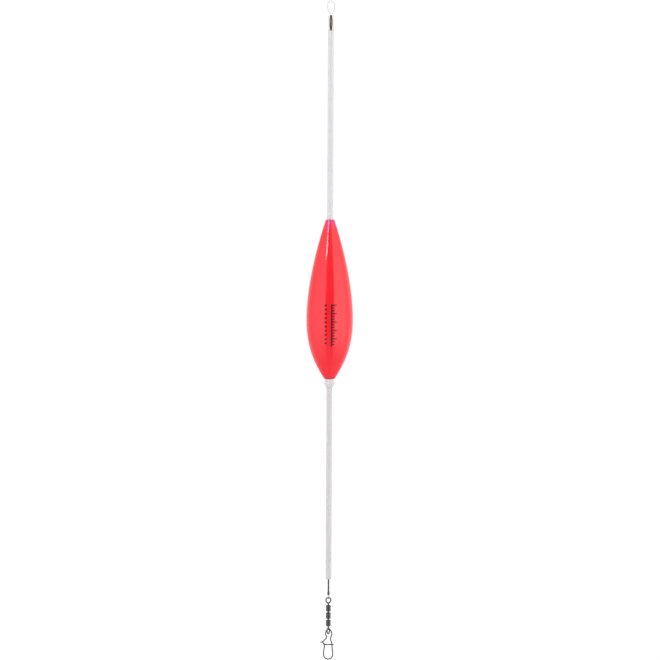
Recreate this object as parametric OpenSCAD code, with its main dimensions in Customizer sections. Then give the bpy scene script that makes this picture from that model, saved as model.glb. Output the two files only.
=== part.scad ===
// Ready-rigged casting float: a crimped clear leader, a guide tube that slides on it,
// a torpedo body fixed round the tube, a triple barrel swivel and a cross-lock snap.
// Millimetres. It hangs by its top loop: the origin is the inside of the loop's apex,
// +Z is up, and the loop's plane is XZ.

/* [Leader] */
// Thickness of the clear line
line_d = 0.5; // [0.4:0.01:0.54]
// Outside width of the top loop
top_loop_w = 4.4; // [3.4:0.1:6]
// Drop from the inside of the top loop to the top crimp
top_loop_len = 8.5; // [7:0.1:14]
// Height of the top loop's peaked crest
top_loop_crest = 1.9; // [1.5:0.1:2.2]
// Length of the parallel stretch of the top loop
top_loop_straight = 2.8; // [1:0.1:3.4]
// Centreline radius of the small loop that carries the swivel
bottom_loop_r = 0.75; // [0.74:0.01:1]
// Drop from the lower crimp to the centre of the small loop
bottom_loop_drop = 1.5; // [1.25:0.05:2.4]

/* [Crimps] */
// Diameter of the crimp sleeves' round ends
crimp_d = 1.35; // [1.3:0.01:1.7]
// Width of the pressed middle of a crimp sleeve
crimp_flat_w = 1.95; // [1.6:0.05:2]
// Thickness of the pressed middle of a crimp sleeve
crimp_flat_t = 1; // [0.9:0.05:1.3]
// Length of each round end of a crimp sleeve
crimp_end_len = 0.8; // [0.5:0.1:1]
// Length over which a crimp sleeve goes from round to flat
crimp_blend_len = 2.4; // [1:0.1:2.5]
// Length of the top crimp sleeve
top_crimp_len = 8.8; // [7.3:0.1:12]
// Length of the lower crimp sleeve
bottom_crimp_len = 11.6; // [9.6:0.1:14]

/* [Stopper sleeve] */
// Outside diameter of the soft clear sleeve over the top crimp
stopper_d = 3.4; // [2.8:0.1:4.2]
// Length of the sleeve's spigot in the guide tube
spigot_len = 3; // [2:0.1:5]
// Hole through the spigot
spigot_bore = 1.4; // [1.2:0.05:1.6]

/* [Guide tube] */
// Bore of the guide tubes
tube_bore = 2.2; // [2.1:0.05:2.5]
// Outside diameter of the upper tube
upper_tube_d = 3.6; // [3:0.1:3.8]
// Outside diameter of the lower tube
lower_tube_d = 3.4; // [2.9:0.1:3.7]
// Length of upper tube that shows above the body
upper_tube_len = 113.3; // [90:0.1:140]
// Length of lower tube that shows below the collar
lower_tube_len = 114.9; // [90:0.1:140]
// Depth of each tube in the core tube's socket
socket_len = 10; // [6:0.5:16]

/* [Float body] */
// Length of the body, its bush included
body_len = 95.8; // [79:0.1:118]
// Largest diameter of the body
body_d = 28.1; // [23:0.1:34]
// Drop from the upper end to the widest point
widest_at = 59.1; // [49:0.1:62]
// Diameter of the body's upper end
body_top_d = 5.2; // [5:0.1:7]
// Diameter of the body's lower end
body_bottom_d = 5.8; // [5.4:0.1:8]
// Fullness of the long upper taper
upper_fullness = 1.72; // [1.4:0.01:2.2]
// Fullness of the short lower taper
lower_fullness = 2.3; // [1.8:0.1:3]
// Radius on the body's two ends
body_end_round = 0.5; // [0.2:0.1:0.7]

/* [Inside the body] */
// Outside diameter of the core tube
core_d = 4.6; // [4.5:0.1:5.6]
// Bore of the core tube between its sockets
core_bore = 2.6; // [2.4:0.1:3]
// Visible length of the bush at the upper end
bush_len = 1.2; // [0.8:0.1:2]
// Diameter of the spigots of the bush and the collar
plug_d = 4.2; // [4.1:0.1:4.3]
// Length of the spigots of the bush and the collar
plug_len = 4; // [3:0.1:6]
// Outside diameter of the ballast sleeve
ballast_d = 8.5; // [7:0.1:12]
// Length of the ballast sleeve
ballast_len = 18; // [10:0.5:19]
// Drop from the upper end to the top of the ballast sleeve
ballast_at = 62; // [55:0.5:63]

/* [Collar] */
// Height of the collar under the body
collar_len = 5.1; // [4:0.1:7]
// Largest diameter of the collar
collar_d = 6.3; // [5.4:0.1:8]
// Diameter of the collar's upper rim
collar_top_d = 5; // [4.7:0.1:5.4]
// Diameter of the collar's lower rim
collar_bottom_d = 4.4; // [4.2:0.1:5]
// Drop from the collar's upper rim to its largest diameter
collar_widest_at = 2.5; // [1:0.1:3]

/* [Swivel] */
// Outside diameter of a barrel
barrel_d = 2.8; // [2.5:0.1:3.4]
// Length of a barrel
barrel_len = 3.9; // [3.2:0.1:5]
// Wall of a barrel
barrel_wall = 0.35; // [0.25:0.01:0.4]
// Depth of the groove round a barrel's middle
barrel_waist = 0.12; // [0:0.01:0.2]
// Radius on a barrel's ends
barrel_round = 0.5; // [0.2:0.05:0.7]
// Gap between neighbouring barrels
barrel_gap = 0.5; // [0.3:0.05:1]
// Diameter of the pins that turn in the barrels
pin_d = 0.9; // [0.7:0.05:1]
// Diameter of the heads on those pins
head_d = 1.7; // [1.4:0.05:1.8]
// Thickness of the heads on those pins
head_t = 0.6; // [0.4:0.05:0.9]
// Thickness of the eyes' wire
eye_wire_d = 0.75; // [0.6:0.01:0.8]
// Outside diameter of an eye
eye_d = 3.7; // [3.2:0.1:4.4]
// Distance from an eye's centre to the point where its two sides meet
eye_throat = 2.35; // [2.1:0.05:2.8]
// Length of neck between that point and the barrel
neck_len = 0.6; // [0.4:0.05:1.2]
// Turn of the lower eye about the chain's axis, in degrees
lower_eye_turn = 60; // [45:1:90]

/* [Snap] */
// Thickness of the snap's wire
snap_wire_d = 0.62; // [0.55:0.01:0.66]
// Overall length of the snap
snap_len = 18.5; // [17:0.1:22.2]
// Height of the bow's peak above the lower eye's centre
bow_lift = 1.06; // [0.5:0.01:1.1]
// Outside width of the bow that passes through the eye
bow_w = 4.4; // [4:0.05:5]
// Drop from the bow's peak to its widest point
bow_h = 3; // [2.6:0.1:3.4]
// Sideways place of the bow's widest point
bow_shift = 0.25; // [0:0.01:0.3]
// Outside width of the snap's waist
waist_w = 3.05; // [2.9:0.05:3.4]
// Drop from the bow's peak to the waist
waist_drop = 4.6; // [4.3:0.1:4.9]
// Drop from the bow's peak to the crossbar
bar_drop = 9.05; // [8.6:0.05:9.4]
// Outside width of the lower loop
loop_w = 6.1; // [5.8:0.1:7.3]
// Sideways place of the lower loop
loop_shift = -0.05; // [-0.3:0.01:0.1]
// How far the loop's two legs lean in at the crossbar
leg_lean = 0.5; // [0.3:0.05:0.6]
// How far the tail reaches out past the gate's leg
tail_reach = 2.1; // [1.7:0.05:2.4]
// Height of the tail's end above the crossbar
tail_rise = 1.15; // [1:0.05:1.4]
// How far the gate's corner reaches out past its leg
corner_reach = 1; // [0.8:0.05:1.1]
// Height of the gate's corner above the crossbar
corner_rise = 1.22; // [1:0.02:1.4]

/* [Fits] */
// Radial clearance of a pin or spigot that turns or slides
run_fit = 0.05; // [0.02:0.01:0.1]
// Radial clearance between pieces that are fixed together
seat_fit = 0.03; // [0.01:0.01:0.06]
// Gap between crossing wires, and between end faces that move
wire_gap = 0.1; // [0.05:0.01:0.15]

/* [Hidden] */
// Steps of a full turn on round pieces
round_steps = 96;
// Sides of a bent wire and of the line, and rings between neighbouring points of a path
wire_sides = 12;
line_sides = 8;
wire_rings = 3;
// Sides of a crimp sleeve
crimp_sides = 24;
// Steps along a curved outline
outline_steps = 28;
$fn = round_steps;
// Overrun of a cut past the face it opens
past = 0.5;

// Heights down the leader
line_r = line_d / 2;
strand_x = line_r + seat_fit / 2;
loop_half = top_loop_w / 2 - line_r;
z_crest = line_r - top_loop_crest;
z_taper = z_crest - top_loop_straight;
z_top_crimp = -top_loop_len;
z_top_crimp_end = z_top_crimp - top_crimp_len;
z_shoulder = z_top_crimp_end - 2 * wire_gap;
z_stopper_end = z_shoulder - 2 * wire_gap;
z_tube = z_stopper_end - wire_gap / 2;
z_body = z_tube - upper_tube_len;
z_body_end = z_body - body_len;
z_collar_end = z_body_end - collar_len;
z_tube_end = z_collar_end - lower_tube_len;
// The lower crimp starts inside the tube's lower end
crimp_cover = 2.1;
z_bottom_crimp = z_tube_end + crimp_cover;
z_bottom_crimp_end = z_bottom_crimp - bottom_crimp_len;
z_bottom_loop = z_bottom_crimp_end - bottom_loop_drop;

// Heights down the swivel: the upper eye's wire passes through the small loop's centre
eye_r = (eye_d - eye_wire_d) / 2;
z_upper_eye = z_bottom_loop - eye_r;
z_barrels = z_upper_eye - eye_throat - neck_len;
barrel_pitch = barrel_len + barrel_gap;
z_barrels_end = z_barrels - 2 * barrel_pitch - barrel_len;
z_lower_eye = z_barrels_end - neck_len - eye_throat;
barrel_bore_r = barrel_d / 2 - barrel_wall;

// Heights down the snap, whose bow passes through the lower eye
snap_r = snap_wire_d / 2;
z_bow = z_lower_eye + bow_lift;
bow_half = (bow_w - snap_wire_d) / 2;
z_waist = z_bow - waist_drop;
waist_half = (waist_w - snap_wire_d) / 2;
z_bar = z_bow - bar_drop;
loop_r = (loop_w - snap_wire_d) / 2;
z_loop = z_bow + 2 * snap_r - snap_len + loop_r;
leg_x = loop_shift + loop_r - leg_lean;
gate_x = loop_shift - loop_r + leg_lean;
// Offset between the centrelines of two snap wires that pass each other
wire_pass = snap_wire_d + wire_gap;

// Body bores
core_r = core_d / 2;
plug_r = plug_d / 2;
z_core = z_body - bush_len - plug_len;
z_core_end = z_body_end + plug_len;
z_ballast = z_body - ballast_at;

// --- curves and sweeps ---

function unit(v) = v / norm(v);
function ease(t) = (1 - cos(180 * t)) / 2;

// Points on an arc about [x, z] in the XZ plane
function arc_xz(centre, r, from, to, steps) =
    [for (i = [0:steps]) let (a = from + (to - from) * i / steps)
        [centre.x + r * cos(a), 0, centre.y + r * sin(a)]];

// Direction of a smooth curve at point i of a path, weighted by its neighbours' distances
function slope(p, i) = i == 0 ? unit(p[1] - p[0]) : i == len(p) - 1 ? unit(p[i] - p[i - 1])
    : let (a = p[i] - p[i - 1], b = p[i + 1] - p[i]) (a / norm(a) * norm(b) + b / norm(b) * norm(a))
        / (norm(a) + norm(b));

// A point at t of the way along the curve from point i of a path to the next
function curve_point(p, i, t) = let (span = norm(p[i + 1] - p[i]))
    p[i] * (1 + 2 * t) * (1 - t) * (1 - t) + slope(p, i) * span * t * (1 - t) * (1 - t)
        + p[i + 1] * t * t * (3 - 2 * t) - slope(p, i + 1) * span * t * t * (1 - t);

// A smooth curve through every point of a path
function smooth_path(p) = concat(
    [for (i = [0:len(p) - 2]) for (j = [0:wire_rings - 1]) curve_point(p, i, j / wire_rings)],
    [p[len(p) - 1]]);

function direction(p, i) = unit(p[min(i + 1, len(p) - 1)] - p[max(i - 1, 0)]);
function square_to(u, t) = unit(u - (u * t) * t);
function reversed(p) = [for (i = [len(p) - 1:-1:0]) p[i]];
function flat(lists) = [for (list = lists) for (item = list) item];

// Faces of the wall round a stack of rings of n points each, numbered from first
function ring_wall(rings, n, first = 0) = [for (i = [0:rings - 2]) for (s = [0:n - 1])
    let (upper = first + i * n, lower = upper + n, next = (s + 1) % n)
        [upper + s, upper + next, lower + next, lower + s]];

// Cross-sections of a round wire along a path, carried along without twist
function wire_sections(p, r, n) =
    [for (i = 0, u = square_to([0.1, 1, 0.1], direction(p, 0)); i < len(p);
            u = square_to(u, direction(p, min(i + 1, len(p) - 1))), i = i + 1)
        let (v = cross(direction(p, i), u))
        [for (s = [0:n - 1]) let (a = 360 * s / n)
            p[i] + r * (u * cos(a) + v * sin(a))]];

// A round wire bent along a smooth path
module bent_wire(path, d, n = wire_sides) {
    p = smooth_path(path);
    caps = [[for (s = [n - 1:-1:0]) s], [for (s = [0:n - 1]) (len(p) - 1) * n + s]];
    polyhedron(points = flat(wire_sections(p, d / 2, n)), faces = concat(ring_wall(len(p), n), caps),
        convexity = 8);
}

// A straight-sided tube that hangs down from z
module tube(z, len, d, bore) {
    translate([0, 0, z - len])
        difference() {
            cylinder(d = d, h = len);
            translate([0, 0, -past]) cylinder(d = bore, h = len + 2 * past);
        }
}

// --- leader ---

// The top loop's side strand, from the end of its parallel stretch to the crimp
function top_loop_side(side) = [
    for (t = [0:0.25:1])
        [side * (loop_half + (strand_x - loop_half) * ease(t)), 0, z_taper + (z_top_crimp - z_taper) * t]];

// The small loop's side strand, from the lower crimp to the start of its round bottom
function bottom_loop_side(side) = [
    for (t = [0:0.25:1])
        [0, side * (strand_x + (bottom_loop_r - strand_x) * ease(t)), z_bottom_crimp_end - bottom_loop_drop * t]];

module leader_line() {
    // Settling length over which a strand returns to the axis beyond its crimp
    settle = 5;
    // Straight run of a strand inside a crimp's mouth
    mouth = 1;
    // A crest fuller than a gable and flatter than a circle
    crest_power = 1.45;
    crest = [for (a = [180:-15:0]) [sign(cos(a)) * loop_half * pow(abs(cos(a)), crest_power), 0,
        z_crest + top_loop_crest * pow(sin(a), crest_power)]];
    small_arc = [for (a = [18:18:162])
        [0, bottom_loop_r * cos(a), z_bottom_loop - bottom_loop_r * sin(a)]];
    color("gainsboro")
        bent_wire(concat(
            [[-strand_x, 0, z_top_crimp_end + line_r]],
            [[-strand_x, 0, z_top_crimp - mouth]],
            reversed(top_loop_side(-1)),
            [[-loop_half, 0, (z_crest + z_taper) / 2]],
            crest,
            [[loop_half, 0, (z_crest + z_taper) / 2]],
            top_loop_side(1),
            [[strand_x, 0, z_top_crimp - mouth]],
            [[strand_x, 0, z_top_crimp_end]],
            [[0, 0, z_top_crimp_end - settle]],
            [[0, 0, z_top_crimp_end - 2 * settle]],
            [[0, 0, z_bottom_crimp + 2 * settle]],
            [[0, 0, z_bottom_crimp + settle]],
            [[0, strand_x, z_bottom_crimp]],
            [[0, strand_x, z_bottom_crimp_end + mouth]],
            bottom_loop_side(1),
            small_arc,
            reversed(bottom_loop_side(-1)),
            [[0, -strand_x, z_bottom_crimp_end + mouth]],
            [[0, -strand_x, z_bottom_crimp - line_r]]
        ), line_d, line_sides);
}

// Points round a bar with round ends, w wide and t thick, at height z
function bar_ring(w, t, z) = [for (s = [0:crimp_sides - 1]) let (a = 360 * (s + 0.5) / crimp_sides)
    [sign(cos(a)) * (w - t) / 2 + t / 2 * cos(a), t / 2 * sin(a), z]];

// A sleeve pressed flat in its middle round two strands, hanging down from 0
module crimp(length) {
    press_steps = 6;
    slot_w = 2 * (strand_x + line_r + seat_fit);
    slot_t = line_d + 2 * seat_fit;
    half = concat([0], [for (i = [0:press_steps]) crimp_end_len + crimp_blend_len * i / press_steps]);
    drops = concat(half, [for (drop = reversed(half)) length - drop]);
    // Share of the press that a drop has, from none at the round ends to all of it
    function pressed(drop) =
        ease(min(1, max(0, min(drop, length - drop) - crimp_end_len) / crimp_blend_len));
    outside = [for (drop = drops) let (f = pressed(drop))
        bar_ring(crimp_d + (crimp_flat_w - crimp_d) * f, crimp_d + (crimp_flat_t - crimp_d) * f, -drop)];
    inside = [bar_ring(slot_w, slot_t, 0), bar_ring(slot_w, slot_t, -length)];
    // Where the inside's points start, and where the last ring outside does
    n = crimp_sides;
    in = len(drops) * n;
    last = in - n;
    ends = [for (s = [0:n - 1]) let (next = (s + 1) % n)
        each [[next, s, in + s, in + next], [last + s, last + next, in + n + next, in + n + s]]];
    color("dimgray")
        polyhedron(points = flat(concat(outside, inside)), convexity = 4, faces = concat(
            ring_wall(len(drops), n), [for (face = ring_wall(2, n, in)) reversed(face)], ends));
}

module top_crimp() {
    translate([0, 0, z_top_crimp]) crimp(top_crimp_len);
}

module bottom_crimp() {
    translate([0, 0, z_bottom_crimp]) rotate(90) crimp(bottom_crimp_len);
}

// --- stopper sleeve and tubes ---

module stopper_sleeve() {
    sleeve_round = 0.3;
    color("whitesmoke")
        difference() {
            rotate_extrude() {
                translate([0, z_stopper_end]) square([stopper_d / 2, z_top_crimp - z_stopper_end - sleeve_round]);
                translate([0, z_top_crimp - 2 * sleeve_round])
                    square([stopper_d / 2 - sleeve_round, 2 * sleeve_round]);
                translate([stopper_d / 2 - sleeve_round, z_top_crimp - sleeve_round]) circle(r = sleeve_round);
                translate([0, z_stopper_end - spigot_len])
                    square([tube_bore / 2 - run_fit, spigot_len + sleeve_round]);
            }
            translate([0, 0, z_shoulder])
                cylinder(d = crimp_flat_w + 2 * run_fit, h = top_crimp_len + past);
            translate([0, 0, z_stopper_end - spigot_len - past])
                cylinder(d = spigot_bore, h = spigot_len + 2 * past);
        }
}

module upper_tube() {
    color("gainsboro") tube(z_tube, z_tube - z_core + socket_len - seat_fit, upper_tube_d, tube_bore);
}

module lower_tube() {
    color("lightgray")
        tube(z_core_end + socket_len - seat_fit, z_core_end + socket_len - seat_fit - z_tube_end,
            lower_tube_d, tube_bore);
}

// --- body ---

// Distance that an end radius takes off at x from the end
function rounded_off(x, r) = x >= r ? 0 : r - sqrt(r * r - (r - x) * (r - x));

// Radius of the body at a drop below its upper end
function body_r(drop) = drop < widest_at
    ? body_top_d / 2 + (body_d - body_top_d) / 2 * (1 - pow((widest_at - drop) / widest_at, upper_fullness))
    : body_bottom_d / 2
        + (body_d - body_bottom_d) / 2 * (1 - pow((drop - widest_at) / (body_len - widest_at), lower_fullness));

function body_point(drop, off = 0) = [body_r(drop) - off, z_body - drop];

// Points on an end's edge radius, from the flat end inwards
function end_edge(drop, sign) = [for (i = [0:4]) let (x = body_end_round * (1 - cos(22.5 * i)))
    body_point(drop + sign * x, rounded_off(x, body_end_round))];

module float_body() {
    long_taper = [for (i = [0:outline_steps])
        body_point(bush_len + (widest_at - bush_len) * i / outline_steps)];
    short_end = body_len - body_end_round;
    short_taper = [for (i = [1:outline_steps])
        body_point(widest_at + (short_end - widest_at) * sin(90 * i / outline_steps))];
    color("red")
        difference() {
            rotate_extrude()
                polygon(concat([[0, z_body - bush_len]], long_taper, short_taper,
                    [for (i = [3:-1:0]) end_edge(body_len, -1)[i]], [[0, z_body_end]]));
            translate([0, 0, z_body_end - past]) cylinder(r = plug_r + seat_fit, h = body_len + 2 * past);
            translate([0, 0, z_core_end - seat_fit])
                cylinder(r = core_r + seat_fit, h = z_core - z_core_end + 2 * seat_fit);
            translate([0, 0, z_ballast - ballast_len - seat_fit])
                cylinder(r = ballast_d / 2 + seat_fit, h = ballast_len + 2 * seat_fit);
        }
}

module top_bush() {
    color("deeppink")
        difference() {
            union() {
                rotate_extrude()
                    polygon(concat([[0, z_body]], end_edge(0, 1),
                        [body_point(bush_len - seat_fit), [0, z_body - bush_len + seat_fit]]));
                translate([0, 0, z_core + seat_fit]) cylinder(r = plug_r, h = plug_len + bush_len / 2);
            }
            translate([0, 0, z_core - past])
                cylinder(d = upper_tube_d + 2 * seat_fit, h = plug_len + bush_len + 2 * past);
        }
}

module core_tube() {
    color("white")
        difference() {
            tube(z_core, z_core - z_core_end, core_d, core_bore);
            translate([0, 0, z_core - socket_len])
                cylinder(d = upper_tube_d + 2 * seat_fit, h = socket_len + past);
            translate([0, 0, z_core_end - past])
                cylinder(d = lower_tube_d + 2 * seat_fit, h = socket_len + past);
        }
}

module ballast_sleeve() {
    color("goldenrod") tube(z_ballast, ballast_len, ballast_d, core_d + 2 * seat_fit);
}

// Radius of the collar at a drop below its upper rim
function collar_r(drop) = drop < collar_widest_at
    ? (collar_top_d + (collar_d - collar_top_d) * ease(drop / collar_widest_at)) / 2
    : (collar_d - (collar_d - collar_bottom_d)
        * ease((drop - collar_widest_at) / (collar_len - collar_widest_at))) / 2;

module lower_collar() {
    color("gainsboro")
        difference() {
            union() {
                rotate_extrude()
                    polygon(concat([[0, z_body_end - seat_fit]],
                        [for (i = [0:outline_steps / 2]) let (drop = seat_fit + (collar_len - seat_fit)
                            * i / (outline_steps / 2)) [collar_r(drop), z_body_end - drop]],
                        [[0, z_collar_end]]));
                translate([0, 0, z_body_end - collar_len / 2])
                    cylinder(r = plug_r, h = plug_len - seat_fit + collar_len / 2);
            }
            translate([0, 0, z_collar_end - past])
                cylinder(d = lower_tube_d + 2 * seat_fit, h = collar_len + plug_len + 2 * past);
        }
}

// --- swivel ---

// A pin that turns in a barrel's end wall, hanging down from the wall's outer face,
// with its head inside
module headed_pin() {
    shank = barrel_wall + run_fit;
    translate([0, 0, -shank - head_t / 2]) cylinder(d = pin_d, h = shank + head_t / 2);
    translate([0, 0, -shank - head_t]) cylinder(d = head_d, h = head_t);
}

// An eye above its pin, bent from one wire whose sides meet at the neck: the pin starts
// at the barrel's end face, at 0
module eye_and_pin(turn) {
    // Angle between each straight side and the neck, and the length of a side
    lean = asin(eye_r / eye_throat);
    side_len = sqrt(eye_throat * eye_throat - eye_r * eye_r);
    color("slategray") {
        rotate(turn) {
            translate([0, 0, neck_len + eye_throat]) rotate([90, 0, 0]) rotate(-lean)
                rotate_extrude(angle = 180 + 2 * lean) translate([eye_r, 0]) circle(d = eye_wire_d);
            for (side = [-1, 1]) translate([0, 0, neck_len]) rotate([0, side * lean, 0])
                cylinder(d = eye_wire_d, h = side_len);
        }
        cylinder(d = pin_d, h = neck_len + eye_wire_d / 2);
        headed_pin();
    }
}

module swivel_upper_eye() {
    translate([0, 0, z_barrels]) eye_and_pin(0);
}

module swivel_lower_eye() {
    translate([0, 0, z_barrels_end]) mirror([0, 0, 1]) eye_and_pin(lower_eye_turn);
}

// A hollow barrel, hanging down from 0
module barrel() {
    groove_steps = 12;
    groove_len = barrel_len - 2 * barrel_round;
    side = [for (i = [0:groove_steps]) let (depth = cos(180 * (i / groove_steps - 0.5)))
        [barrel_d / 2 - barrel_waist * depth * depth, -barrel_round - groove_len * i / groove_steps]];
    function edge(sign) = [for (i = [0:3]) let (x = barrel_round * (1 - cos(22.5 * i)))
        [barrel_d / 2 - rounded_off(x, barrel_round), sign < 0 ? -x : x - barrel_len]];
    color("slategray")
        difference() {
            rotate_extrude()
                polygon(concat([[0, 0]], edge(-1), side, reversed(edge(1)), [[0, -barrel_len]]));
            translate([0, 0, barrel_wall - barrel_len])
                cylinder(r = barrel_bore_r, h = barrel_len - 2 * barrel_wall);
            translate([0, 0, -barrel_len - past])
                cylinder(r = pin_d / 2 + run_fit, h = barrel_len + 2 * past);
        }
}

module swivel_barrel(i) {
    translate([0, 0, z_barrels - i * barrel_pitch]) barrel();
}

// The double-headed pin between barrel i and the next one
module swivel_link(i) {
    z_gap = z_barrels - i * barrel_pitch - barrel_len;
    color("slategray") {
        translate([0, 0, z_gap - barrel_gap]) cylinder(d = pin_d, h = barrel_gap);
        translate([0, 0, z_gap - barrel_gap]) headed_pin();
        translate([0, 0, z_gap]) mirror([0, 0, 1]) headed_pin();
    }
}

// --- snap ---

// The snap's fixed part: a hooked tail behind the gate's corner, the bow through the eye,
// the fixed leg and half of the lower loop
module snap_wire() {
    tail_y = wire_pass - wire_gap / 2;
    tail_z = z_bar + tail_rise;
    bow = [for (a = [-90:15:90]) [bow_shift + bow_half * sin(a), 0, z_bow - bow_h + bow_h * cos(a)]];
    color("slategray")
        bent_wire(concat(
            [[gate_x - tail_reach, -snap_r, tail_z - snap_r / 4]],
            [[gate_x - tail_reach, snap_r / 2, tail_z]],
            [[gate_x - tail_reach * 0.76, tail_y - wire_gap / 2, tail_z + snap_r / 2]],
            [[gate_x - tail_reach * 0.43, tail_y, tail_z + snap_r * 1.6]],
            [[gate_x - wire_gap, tail_y - wire_gap, tail_z + snap_r * 4.4]],
            [[-waist_half - wire_gap, snap_r / 2, z_waist - snap_r * 3]],
            [[-waist_half + bow_shift, 0, z_waist]],
            bow,
            [[waist_half + bow_shift + wire_gap, 0, z_waist]],
            [[waist_half + bow_shift - wire_gap, 0, z_waist - snap_r * 3.5]],
            [[leg_x - wire_gap, 0, z_bar + snap_r * 3]],
            [[leg_x, 0, z_bar]],
            [[leg_x + leg_lean / 2, 0, (z_bar + z_loop) / 2]],
            arc_xz([loop_shift, z_loop], loop_r, 0, -75, 5),
            [[loop_shift + wire_gap / 4, 0, z_loop - loop_r]]
        ), snap_wire_d);
}

// The snap's opening part: the other half of the loop, the gate's leg, the corner bend in
// front of the tail, and the crossbar, which passes in front of the fixed leg and hooks it
module snap_gate() {
    bar_y = -wire_pass - wire_gap / 2;
    hook_x = leg_x + wire_pass + wire_gap / 2;
    color("slategray")
        bent_wire(concat(
            [[loop_shift - wire_gap / 4, 0, z_loop - loop_r]],
            arc_xz([loop_shift, z_loop], loop_r, -105, -180, 5),
            [[gate_x - leg_lean / 2, 0, (z_bar + z_loop) / 2]],
            [[gate_x, 0, z_bar - corner_rise * 0.8]],
            [[gate_x - corner_reach * 0.26, bar_y * 0.03, z_bar + corner_rise * 0.08]],
            [[gate_x - corner_reach * 0.7, bar_y * 0.1, z_bar + corner_rise * 0.7]],
            [[gate_x - corner_reach, bar_y * 0.55, z_bar + corner_rise]],
            [[gate_x - corner_reach * 0.7, bar_y, z_bar + corner_rise * 0.74]],
            [[gate_x - corner_reach * 0.15, bar_y, z_bar + corner_rise * 0.2]],
            [[gate_x + corner_reach * 0.4, bar_y, z_bar]],
            [[loop_shift, bar_y, z_bar]],
            [[leg_x, bar_y, z_bar]],
            [[hook_x - wire_gap * 2, bar_y + wire_gap * 2, z_bar]],
            [[hook_x, -snap_r / 2, z_bar - wire_gap / 2]],
            [[hook_x - wire_gap / 2, snap_r, z_bar - wire_gap]]
        ), snap_wire_d);
}

leader_line();
top_crimp();
bottom_crimp();
stopper_sleeve();
upper_tube();
top_bush();
float_body();
core_tube();
ballast_sleeve();
lower_collar();
lower_tube();
swivel_upper_eye();
swivel_barrel(0);  // swivel_barrel_1
swivel_link(0);  // swivel_link_1
swivel_barrel(1);  // swivel_barrel_2
swivel_link(1);  // swivel_link_2
swivel_barrel(2);  // swivel_barrel_3
swivel_lower_eye();
snap_wire();
snap_gate();
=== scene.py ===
import math

import bmesh
import bpy
from mathutils import Matrix, Quaternion, Vector


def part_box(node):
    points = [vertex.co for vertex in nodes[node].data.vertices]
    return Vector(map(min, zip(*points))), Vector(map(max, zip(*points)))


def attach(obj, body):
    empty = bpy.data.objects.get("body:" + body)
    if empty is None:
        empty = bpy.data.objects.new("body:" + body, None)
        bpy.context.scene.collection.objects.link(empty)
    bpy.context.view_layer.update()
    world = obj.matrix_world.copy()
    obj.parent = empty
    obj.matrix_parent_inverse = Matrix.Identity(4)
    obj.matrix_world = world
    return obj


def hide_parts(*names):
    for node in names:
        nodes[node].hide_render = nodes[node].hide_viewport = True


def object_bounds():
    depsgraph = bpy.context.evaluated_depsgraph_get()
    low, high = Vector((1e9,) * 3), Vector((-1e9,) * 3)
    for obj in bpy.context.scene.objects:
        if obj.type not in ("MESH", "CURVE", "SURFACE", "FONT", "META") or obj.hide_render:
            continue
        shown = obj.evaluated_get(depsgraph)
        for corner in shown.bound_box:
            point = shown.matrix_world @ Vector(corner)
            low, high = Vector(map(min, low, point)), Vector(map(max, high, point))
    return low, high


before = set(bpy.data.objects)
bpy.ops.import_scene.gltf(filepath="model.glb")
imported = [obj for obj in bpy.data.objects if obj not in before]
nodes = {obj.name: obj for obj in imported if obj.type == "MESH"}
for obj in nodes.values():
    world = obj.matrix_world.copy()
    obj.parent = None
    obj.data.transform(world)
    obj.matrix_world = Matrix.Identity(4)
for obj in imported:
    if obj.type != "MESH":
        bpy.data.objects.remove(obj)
cad_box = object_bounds()
MM = 0.001


def ease(t):
    return (1 - math.cos(math.pi * t)) / 2


# --- sizes taken from the frame ---

def reach(node_name):
    """Largest distance of a node from the Z axis."""
    return max(math.hypot(v.co.x, v.co.y) for v in nodes[node_name].data.vertices)


def bore(node_name):
    """Smallest distance of a node from the Z axis."""
    return min(math.hypot(v.co.x, v.co.y) for v in nodes[node_name].data.vertices)


def span(node_name):
    """Lowest and highest height of a node."""
    low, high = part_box(node_name)
    return low.z, high.z


BODY_TOP = span("top_bush")[1]
BODY_LOW = span("float_body")[0]
BODY_LEN = BODY_TOP - BODY_LOW
BODY_R = reach("float_body")
TOP_R = 2.6 * MM
BOTTOM_R = 2.9 * MM
WIDEST_AT = 59.1 * MM
UPPER_FULLNESS = 1.72
LOWER_FULLNESS = 2.3
END_ROUND = 0.5 * MM
BUSH_LEN = 1.2 * MM
SEAT_FIT = 0.03 * MM
PLUG_R = 2.1 * MM


def body_radius(drop):
    """The body's radius at a drop from its upper end."""
    if drop < WIDEST_AT:
        return TOP_R + (BODY_R - TOP_R) * (1 - ((WIDEST_AT - drop) / WIDEST_AT) ** UPPER_FULLNESS)
    share = (drop - WIDEST_AT) / (BODY_LEN - WIDEST_AT)
    return BOTTOM_R + (BODY_R - BOTTOM_R) * (1 - share ** LOWER_FULLNESS)


def body_outline(start, stop, steps):
    """Points down the body's outline, with the radius on each of its two ends."""
    points = []
    for i in range(steps + 1):
        drop = start + (stop - start) * ease(i / steps)
        edge = min(drop, BODY_LEN - drop)
        back = 0
        if edge < END_ROUND:
            back = END_ROUND - math.sqrt(END_ROUND ** 2 - (END_ROUND - edge) ** 2)
        points.append((body_radius(drop) - back, BODY_TOP - drop))
    return points


# --- curves ---

def slope(points, i):
    """Direction of a smooth curve at point i, weighted by the distances to its neighbours."""
    if i == 0:
        return (points[1] - points[0]).normalized()
    if i == len(points) - 1:
        return (points[i] - points[i - 1]).normalized()
    before = points[i] - points[i - 1]
    after = points[i + 1] - points[i]
    share = before.length + after.length
    return before.normalized() * (after.length / share) + after.normalized() * (before.length / share)


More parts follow.
